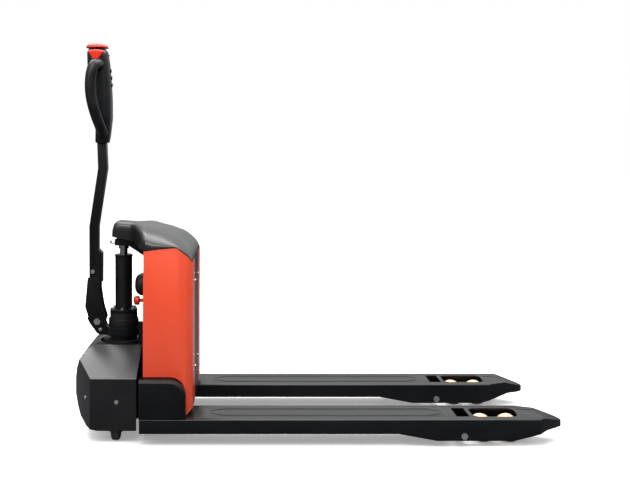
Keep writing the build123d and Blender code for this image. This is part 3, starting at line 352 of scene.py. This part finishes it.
# %% Round the plates that show
for side in ("right", "left"):
    rounded_copy("fork_" + side, "fork_channel_" + side, "chassis", "fork_paint", 1.6)
    rounded_copy("gusset_" + side, "heel_housing_" + side, "chassis", "frame_paint", 2.0, 4)
    rounded_copy("side_cover_" + side, "red_cover_" + side, "chassis", "red_panel", 1.2)
rounded_copy("tiller_arm", "tiller_tube", "tiller", "frame_paint", 2.0, 3)
rounded_copy("tiller_yoke", "yoke_casting", "steering", "frame_paint", 1.5)
rounded_copy("head_bracket", "lift_bracket", "chassis", "frame_paint", 1.5)
rounded_copy("front_cover", "front_panel", "chassis", "cover_plastic", 0.8)
rounded_copy("steering_head", "steering_column", "steering", "cast_metal", 1.5)
rounded_copy("lift_cylinder", "cylinder_barrel", "steering", "frame_paint", 1.0)

# %% [markdown]
# ## The top cover
# The black cover over the cabinet is one moulding: a narrow nose over the lift cylinder that widens
# into a broad hood, crowned across its width and falling away towards the forks. A grid is the right
# start, because every row across the truck is the same kind of arch. Each row takes its width, its
# crown height and its lower edge from where it lies along the truck. Solidify gives the wall.

# %% Outline values of the top cover
hood_half = (cover_high.y - cover_low.y) / 2
nose_half = 56 * MM
nose_rear = cover_low.x
front_x = cover_high.x
top_z = cover_high.z
flare_start = steer_x + 30 * MM
flare_end = side_low.x + 8 * MM
corner_round = 40 * MM


def between(points, x):
    """Height at x on straight lines through (x, height) points."""
    for (x0, z0), (x1, z1) in zip(points, points[1:]):
        if x <= x1:
            return z0 + (z1 - z0) * max(0.0, (x - x0) / (x1 - x0))
    return points[-1][1]


crown_line = [
    (nose_rear, top_z - 49 * MM),
    (nose_rear + 1 * MM, top_z - 24 * MM),
    (nose_rear + 5 * MM, top_z - 9 * MM),
    (nose_rear + 10 * MM, top_z - 3 * MM),
    (nose_rear + 20 * MM, top_z),
    (front_x - 220 * MM, top_z - 2.5 * MM),
    (front_x - 169 * MM, top_z - 8 * MM),
    (front_x - 122 * MM, top_z - 17 * MM),
    (front_x - 96 * MM, top_z - 24 * MM),
    (front_x - 79 * MM, top_z - 32 * MM),
    (front_x - 64 * MM, top_z - 39 * MM),
    (front_x - 50 * MM, top_z - 48 * MM),
    (front_x - 36 * MM, top_z - 60 * MM),
    (front_x - 24 * MM, top_z - 71 * MM),
    (front_x - 14 * MM, top_z - 82 * MM),
    (front_x - 7 * MM, top_z - 92 * MM),
    (front_x - 2 * MM, top_z - 102 * MM),
    (front_x, top_z - 111 * MM),
]
lower_line = [
    (nose_rear, top_z - 49 * MM),
    (flare_start, top_z - 63 * MM),
    (side_low.x + 2 * MM, 595 * MM),
    (side_low.x + 45 * MM, 601 * MM),
    (side_low.x + 90 * MM, 605.5 * MM),
    (side_low.x + 104 * MM, 605 * MM),
    (side_low.x + 115 * MM, 598 * MM),
    (side_low.x + 139 * MM, 578.5 * MM),
    (front_x, 557 * MM),
]


def cover_half(x):
    """Half width of the cover at x: the nose, the flare and the round front corners."""
    flare = min(1.0, max(0.0, (x - flare_start) / (flare_end - flare_start)))
    eased = flare * flare * (3 - 2 * flare)
    half = nose_half + (hood_half - nose_half) * eased
    if x > front_x - corner_round:
        inside = x - (front_x - corner_round)
        half -= corner_round - sqrt(max(0.0, corner_round ** 2 - inside ** 2))
    if x < nose_rear + 14 * MM:
        half -= (nose_rear + 14 * MM - x) * 0.7
    return half


# %% Model the top cover from a grid
stations = [x for x, z in crown_line]
nose_level = nose_rear + 20 * MM
for k in range(1, 9):
    stations.append(flare_start + (flare_end - flare_start) * k / 8)
for k in range(1, 6):
    stations.append(nose_level + (flare_start - nose_level) * k / 5)
for this, following in zip(stations[4:17], stations[5:18]):
    stations.append((this + following) / 2)
stations = sorted(set(round(x, 5) for x in stations))
across = 56
bpy.ops.object.select_all(action="DESELECT")
bpy.ops.mesh.primitive_grid_add(x_subdivisions=len(stations) - 1, y_subdivisions=across, size=2)
hood = bpy.context.object
hood.name = "hood_cover"
for point in hood.data.vertices:
    row = round((point.co.x + 1) / 2 * (len(stations) - 1))
    turn = pi * (1 - (point.co.y + 1) / 2)
    x = stations[row]
    low = between(lower_line, x)
    high = max(between(crown_line, x), low + 0.2 * MM)
    boxy = min(1.0, max(0.0, (flare_end + 20 * MM - x) / (flare_end - flare_start)))
    squareness = 2.0 / (2.9 + 3.1 * boxy)
    y = cover_half(x) * (abs(cos(turn)) ** squareness) * (1 if cos(turn) > 0 else -1)
    point.co = (x, y, low + (high - low) * sin(turn) ** (2.0 / (2.4 + 2.6 * boxy)))
start_edit(hood)
bpy.ops.mesh.remove_doubles(threshold=0.05 * MM)
bpy.ops.mesh.normals_make_consistent(inside=False)
bpy.ops.object.mode_set(mode="OBJECT")
up = sum(face.normal.z for face in hood.data.polygons)
if up < 0:
    start_edit(hood)
    bpy.ops.mesh.flip_normals()
    bpy.ops.object.mode_set(mode="OBJECT")
give_wall(hood)
bpy.ops.object.shade_smooth_by_angle(angle=radians(40))
place_piece(hood, "chassis", "cover_plastic", "top_cover")
print("hood cover", len(hood.data.polygons), "faces")

# %% [markdown]
# ## The shroud over the drive unit
# The shroud is a big moulded box with slanted shoulders, a sloped back and a belly that tucks under
# at the rear. All of its outer faces lean outwards or inwards but never hollow, so a cube cut by
# planes gives the body, one bisect for each face. The cut edges are then rounded generously, the
# bottom and the front are opened, and Solidify turns the skin into a wall.

# %% A helper that cuts a block with planes


def cut_block(name, low, high, planes):
    """Closed block between two corners, cut by (point, outward direction) planes."""
    centre = [(a + b) / 2 for a, b in zip(low, high)]
    bpy.ops.object.select_all(action="DESELECT")
    bpy.ops.mesh.primitive_cube_add(size=1, location=centre)
    piece = bpy.context.object
    piece.name = name
    piece.scale = [b - a for a, b in zip(low, high)]
    bpy.ops.object.transform_apply(location=True, rotation=True, scale=True)
    for point, outward in planes:
        start_edit(piece)
        bpy.ops.mesh.bisect(plane_co=point, plane_no=outward, use_fill=True, clear_outer=True)
        bpy.ops.object.mode_set(mode="OBJECT")
    return piece


def profile_planes(points):
    """Planes across the truck through each step of an (x, z) outline that turns clockwise, seen from -Y."""
    planes = []
    for (x0, z0), (x1, z1) in zip(points, points[1:]):
        planes.append(((x0, 0, z0), (-(z1 - z0), 0, x1 - x0)))
    return planes


# %% Cut the shroud and open it
back, bottom = shroud_low.x, shroud_low.z
top = shroud_high.z
half = 250 * MM
crease = 201 * MM
top_half = 88 * MM
rear_half = 140 * MM
spare = 20 * MM
rear_line = [(85, 0), (50, 7), (25, 22), (10, 50), (0, 84), (0, 135), (5, 168), (15, 197), (31, 221),
             (54, 231)]
planes = profile_planes([(back + x * MM, bottom + z * MM) for x, z in rear_line])
slope = (top - crease, half - top_half)
bevel_x = steer_x - 71 * MM
quarter_run = bevel_x - back - 6 * MM
for side in (-1, 1):
    planes.append(((back, side * half, crease), (0, side * slope[0], slope[1])))
    planes.append(((bevel_x, side * half, 0), (-(half - rear_half), side * quarter_run, 0)))
shroud = cut_block("drive_cover", (back - 8 * MM, -half, bottom - spare),
                   (shroud_high.x + spare, half, top), planes)
start_edit(shroud)
bpy.ops.mesh.remove_doubles(threshold=0.02 * MM)
bpy.ops.object.mode_set(mode="OBJECT")
bevel_edges(shroud, 11.0, 5, 4.0)
for point, outward in (((0, 0, bottom), (0, 0, -1)), ((shroud_high.x, 0, 0), (1, 0, 0))):
    start_edit(shroud)
    bpy.ops.mesh.bisect(plane_co=point, plane_no=outward, use_fill=False, clear_outer=True)
    bpy.ops.object.mode_set(mode="OBJECT")
give_wall(shroud)


def cut_with(piece, cutter):
    """Cuts one solid out of another and removes the cutter."""
    choose(piece)
    cut = piece.modifiers.new("cut", "BOOLEAN")
    cut.operation = "DIFFERENCE"
    cut.object = cutter
    cut.solver = "EXACT"
    bpy.ops.object.modifier_apply(modifier=cut.name)
    bpy.data.objects.remove(cutter)


bpy.ops.mesh.primitive_cylinder_add(vertices=96, radius=76 * MM, depth=60 * MM, location=(steer_x, 0, top))
cut_with(shroud, bpy.context.object)
bpy.ops.mesh.primitive_cube_add(size=1, location=(steer_x + 0.15, 0, top))
slot_block = bpy.context.object
slot_block.scale = (0.3, 152 * MM, 60 * MM)
cut_with(shroud, slot_block)
bpy.ops.object.shade_smooth_by_angle(angle=radians(40))
place_piece(shroud, "drive_base", "shroud_plastic", "drive_shroud")
print("shroud", len(shroud.data.polygons), "faces")

# %% [markdown]
# ## The handle head
# The head that carries the controls is a tall moulding, wide at the top and waisted where it meets
# the tube. Its sections are rounded rectangles stacked up the tiller, so it is lofted: a disc is
# drawn at the bottom and extruded ring by ring, each ring set to the outline at its height.

# %% A helper that extrudes a stack of rings


def stack_rings(name, rings):
    """Closed body through rings of equally many points, extruded from the first to the last."""
    bpy.ops.object.select_all(action="DESELECT")
    bpy.ops.mesh.primitive_circle_add(vertices=len(rings[0]), radius=1, fill_type="NGON")
    piece = bpy.context.object
    piece.name = name
    for point, spot in zip(piece.data.vertices, rings[0]):
        point.co = spot
    start_edit(piece)
    before = rings[0]
    for ring in rings[1:]:
        bpy.ops.mesh.extrude_region_move()
        mesh = bmesh.from_edit_mesh(piece.data)
        for vertex in [v for v in mesh.verts if v.select]:
            nearest = min(range(len(before)), key=lambda k: (vertex.co - Vector(before[k])).length_squared)
            vertex.co = ring[nearest]
        bmesh.update_edit_mesh(piece.data)
        before = ring
    bpy.ops.mesh.select_all(action="SELECT")
    bpy.ops.mesh.normals_make_consistent(inside=False)
    bpy.ops.object.mode_set(mode="OBJECT")
    return piece


def soft_rectangle(x0, x1, half, z, power=3.2, count=48):
    """Ring at height z, between x0 and x1 and half as wide each way, with round corners."""
    ring = []
    for k in range(count):
        turn = 2 * pi * (k + 0.37) / count
        c, s = cos(turn), sin(turn)
        px = abs(c) ** (2 / power) * (1 if c > 0 else -1)
        py = abs(s) ** (2 / power) * (1 if s > 0 else -1)
        ring.append(((x0 + x1) / 2 + px * (x1 - x0) / 2, half * py, z))
    return ring


# %% Loft the head
left_edge = [(0, -54.5), (70, -52.0), (130, -57.0), (200, -69.0), (260, -79.5), (307, -81.0), (316, -76.0)]
right_edge = [(0, -8.5), (25, -4.5), (82, 1.5), (145, 1.2), (210, -2.2), (260, -6.5), (307, -13.5),
              (316, -20.0)]
half_edge = [(0, 31), (80, 46), (280, 46), (300, 42), (316, 34)]
head_length = 316.0
head_steps = 32
rings = []
for k in range(head_steps + 1):
    z = head_length * k / head_steps
    xl, xr, h = (between(edge, z) for edge in (left_edge, right_edge, half_edge))
    shrink = 1.2 if k in (0, head_steps) else 0.0
    rings.append(soft_rectangle(head_high.x + (xl + shrink) * MM, head_high.x + (xr - shrink) * MM,
                                (h - shrink) * MM, head_low.z + z / head_length * (head_high.z - head_low.z)))
handle = stack_rings("control_head", rings)
bpy.ops.object.shade_smooth_by_angle(angle=radians(45))
place_piece(handle, "tiller", "grip_plastic", "handle_head")
print("handle", len(handle.data.polygons), "faces")

# %% [markdown]
# ## Grips, cap and paddle
# The grips are thick round loops, one each side of the head. Each is a curve with a round bevel, made
# a mesh once its points are placed. The red cap is a domed stack of rings on a short stem, and the
# paddle is a pair of wings that fan out above their shaft, each an outline extruded across the truck.

# %% Sweep the grips
head_x = head_high.x
pivot_low, pivot_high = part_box("throttle")
shaft_x = (pivot_low.x + pivot_high.x) / 2
grip_route = [(-36, 24, 262), (-38, 70, 259), (-45, 98, 262), (-56, 105, 212), (-55, 104, 158),
              (-46, 100, 116), (-36, 88, 78), (-28, 62, 50), (-26, 28, 30)]
for side in (-1, 1):
    bpy.ops.object.select_all(action="DESELECT")
    bpy.ops.curve.primitive_nurbs_path_add()
    grip = bpy.context.object
    grip.name = "grip_loop_" + ("right" if side < 0 else "left")
    grip.data.splines.clear()
    line = grip.data.splines.new("NURBS")
    line.points.add(len(grip_route) - 1)
    for point, (x, y, z) in zip(line.points, grip_route):
        point.co = (head_x + x * MM, side * y * MM, head_low.z + z * MM, 1)
    line.use_endpoint_u = True
    line.order_u = 4
    line.resolution_u = 10
    grip.data.bevel_mode = "ROUND"
    grip.data.bevel_depth = 17.5 * MM
    grip.data.bevel_resolution = 8
    grip.data.use_fill_caps = True
    choose(grip)
    bpy.ops.object.convert(target="MESH")
    grip = bpy.context.object
    bpy.ops.object.transform_apply(location=True, rotation=True, scale=True)
    start_edit(grip)
    bpy.ops.mesh.remove_doubles(threshold=0.02 * MM)
    bpy.ops.mesh.normals_make_consistent(inside=False)
    bpy.ops.object.mode_set(mode="OBJECT")
    bpy.ops.object.shade_smooth_by_angle(angle=radians(50))
    stands_for = ["grips"] if side < 0 else []
    place_piece(grip, "tiller", "grip_plastic", *stands_for)

# %% Dome the cap
cap_low, cap_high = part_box("reverse_button")
cap_rings = []
cap_steps = 14
cap_gap = 4.6 * MM
cap_rise = 16.4 * MM
cap_half = 42 * MM
cap_rear, cap_front = cap_low.x - 3 * MM, cap_high.x + 7 * MM
cap_middle = (cap_rear + cap_front) / 2
for k in range(cap_steps + 1):
    t = k / cap_steps
    shrink = (1 - (1 - t ** 2.2) ** 0.5) * 0.92
    reach = (cap_front - cap_rear) / 2 * (1 - shrink)
    cap_rings.append(soft_rectangle(cap_middle - reach, cap_middle + reach, cap_half * (1 - shrink * 0.75),
                                    head_high.z + cap_gap + cap_rise * t, 2.6, 48))
cap = stack_rings("belly_cap", cap_rings)
bpy.ops.mesh.primitive_cylinder_add(vertices=40, radius=9.5 * MM, depth=16 * MM,
                                    location=(shaft_x, 0, head_high.z - 4 * MM))
stem = bpy.context.object
bpy.ops.object.transform_apply(location=True, rotation=True, scale=True)
choose(cap, stem)
bpy.ops.object.join()
bpy.ops.object.shade_smooth_by_angle(angle=radians(50))
place_piece(cap, "reverse_button", "red_plastic", "reverse_button")

# %% Fan the paddle's wings
shaft_z = head_low.z + 283 * MM
wing_outline = [(-9, -9), (9, -9), (12, -2), (20, 9), (29, 17), (24, 20.5), (12, 22.5), (0, 23), (-12, 22.5),
                (-22, 20.5), (-27, 17), (-19, 9), (-12, -2)]
wings = []
for side in (-1, 1):
    bpy.ops.object.select_all(action="DESELECT")
    bpy.ops.mesh.primitive_circle_add(vertices=len(wing_outline), radius=1, fill_type="NGON")
    wing = bpy.context.object
    for point, (x, z) in zip(wing.data.vertices, wing_outline):
        point.co = (shaft_x + x * MM, side * 48 * MM, shaft_z + z * MM)
    start_edit(wing)
    bpy.ops.mesh.extrude_region_move(TRANSFORM_OT_translate={"value": (0, side * 22 * MM, 0)})
    bpy.ops.mesh.select_all(action="SELECT")
    bpy.ops.mesh.normals_make_consistent(inside=False)
    bpy.ops.object.mode_set(mode="OBJECT")
    bevel_edges(wing, 3.0, 4, 25.0)
    wings.append(wing)
bpy.ops.mesh.primitive_cylinder_add(vertices=40, radius=6 * MM, depth=100 * MM,
                                    location=(shaft_x, 0, shaft_z), rotation=(pi / 2, 0, 0))
shaft = bpy.context.object
bpy.ops.object.transform_apply(location=True, rotation=True, scale=True)
choose(shaft, *wings)
bpy.ops.object.join()
shaft.name = "speed_paddle"
bpy.ops.object.shade_smooth_by_angle(angle=radians(40))
place_piece(shaft, "throttle", "red_plastic", "throttle")

# %% [markdown]
# ## Wheels
# The load wheels are polyurethane rollers with rounded rims and a bearing's ring at each end. The
# drive wheel's rubber tyre has shallow grooves moulded round it. Spin or a lathe would do, but the
# ring stack of the handle serves here too: each point of a wheel's profile becomes one ring. These
# wheels are closed at both ends, so their axles run through solid ends instead of a bore.

# %% A helper for a turned body


def turned(name, centre, axis, profile, segments=72):
    """Closed body turned round an axis along X, Y or Z from (along, radius) points."""
    rings = []
    for along, radius in profile:
        ring = []
        for k in range(segments):
            turn = 2 * pi * k / segments
            a, b = radius * MM * cos(turn), radius * MM * sin(turn)
            spot = {"x": (along * MM, a, b), "y": (a, along * MM, b), "z": (a, b, along * MM)}[axis]
            ring.append(tuple(c + s for c, s in zip(centre, spot)))
        rings.append(ring)
    piece = stack_rings(name, rings)
    bpy.ops.object.shade_smooth_by_angle(angle=radians(32))
    return piece


# %% Load wheels, drive tyre and caster wheels
tread = [(-32, 17), (-31, 33.5), (-29.5, 36), (-27.5, 37), (-0.4, 37), (0.4, 37), (27.5, 37), (29.5, 36),
         (31, 33.5), (32, 17)]
for node in [n for n in nodes if n.startswith("load_wheel_")]:
    low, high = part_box(node)
    centre = (low + high) / 2
    place = node.removeprefix("load_wheel_")
    body = place.replace("_", "_roller_")
    wheel = turned("roller_" + place, centre, "y", tread)
    place_piece(wheel, body, "polyurethane", node)
    for side in (-1, 1):
        ring = turned(f"bearing_{place}_{'out' if side < 0 else 'in'}", centre, "y",
                      [(side * 31.9, 9.5), (side * 31.9, 16.8), (side * 32.4, 16.4), (side * 32.4, 9.9)], 48)
        place_piece(ring, body, "zinc")

centre = (wheel_low + wheel_high) / 2
tyre_profile = [(-32, 79), (-32, 98), (-31, 102), (-27.5, 105)]
for groove in (-16, 0, 16):
    tyre_profile += [(groove - 2, 105), (groove - 1.2, 103), (groove + 1.2, 103), (groove + 2, 105)]
tyre_profile += [(27.5, 105), (31, 102), (32, 98), (32, 79)]
tyre = turned("drive_tyre", centre, "y", tyre_profile, 96)
place_piece(tyre, "drive_wheel", "drive_rubber", "drive_wheel_tyre")

for side in ("right", "left"):
    low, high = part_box("caster_wheel_" + side)
    centre = (low + high) / 2
    caster = turned("caster_roller_" + side, centre, "x",
                    [(-14, 13), (-13, 30), (-11, 34), (-7, 36), (7, 36), (11, 34), (13, 30), (14, 13)], 64)
    place_piece(caster, "caster_wheel_" + side, "caster_tread", "caster_wheel_" + side)

# %% [markdown]
# ## The emergency button
# The button is a thick red mushroom on a thin stem, so it is one more turned profile, from the middle
# of its face back to the end of its stem.

# %% Mushroom head of the emergency button
low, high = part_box("emergency_button")
knob = turned("mushroom_head", (low.x - 4 * MM, (low.y + high.y) / 2, (low.z + high.z) / 2), "x",
              [(0, 2), (0.8, 8), (3, 12.5), (8, 15.5), (14, 16), (19, 15.5), (21, 13), (21.5, 9), (21.5, 6),
               (44, 6)], 64)
place_piece(knob, "emergency_button", "red_plastic", "emergency_button")

# %% [markdown]
# ## Small fasteners
# A pan-head screw holds the shroud on each rear quarter, and a stop bolt sits on the yoke below the
# tiller's pin. They are small, but bright metal on black paint is what the eye picks out first.

# %% Screws and stop bolts
screw_back = 20 * MM
for side in (-1, 1):
    word = "right" if side < 0 else "left"
    flank = Vector((-(half - rear_half), side * quarter_run, 0)).normalized()
    screw_y = half - screw_back * (half - rear_half) / quarter_run
    screw = turned("back_screw_" + word, (0, 0, 0), "z",
                   [(-2, 3), (0, 3), (0, 6), (1.2, 5.8), (2.4, 4.2), (2.6, 0.6)], 32)
    screw.matrix_world = flank.to_track_quat("Z", "Y").to_matrix().to_4x4()
    screw.location = (bevel_x - screw_back, side * screw_y, 134 * MM)
    choose(screw)
    bpy.ops.object.transform_apply(location=True, rotation=True, scale=True)
    place_piece(screw, "drive_base", "zinc")
    bolt = turned("stop_bolt_" + word, (head_x - 35 * MM, side * 22.3 * MM, 309 * MM), "y",
                  [(-side * 1, 7), (side * 2.5, 7), (side * 2.6, 5.6), (side * 6, 5.6), (side * 6.6, 4.8)], 6)
    place_piece(bolt, "steering", "zinc")
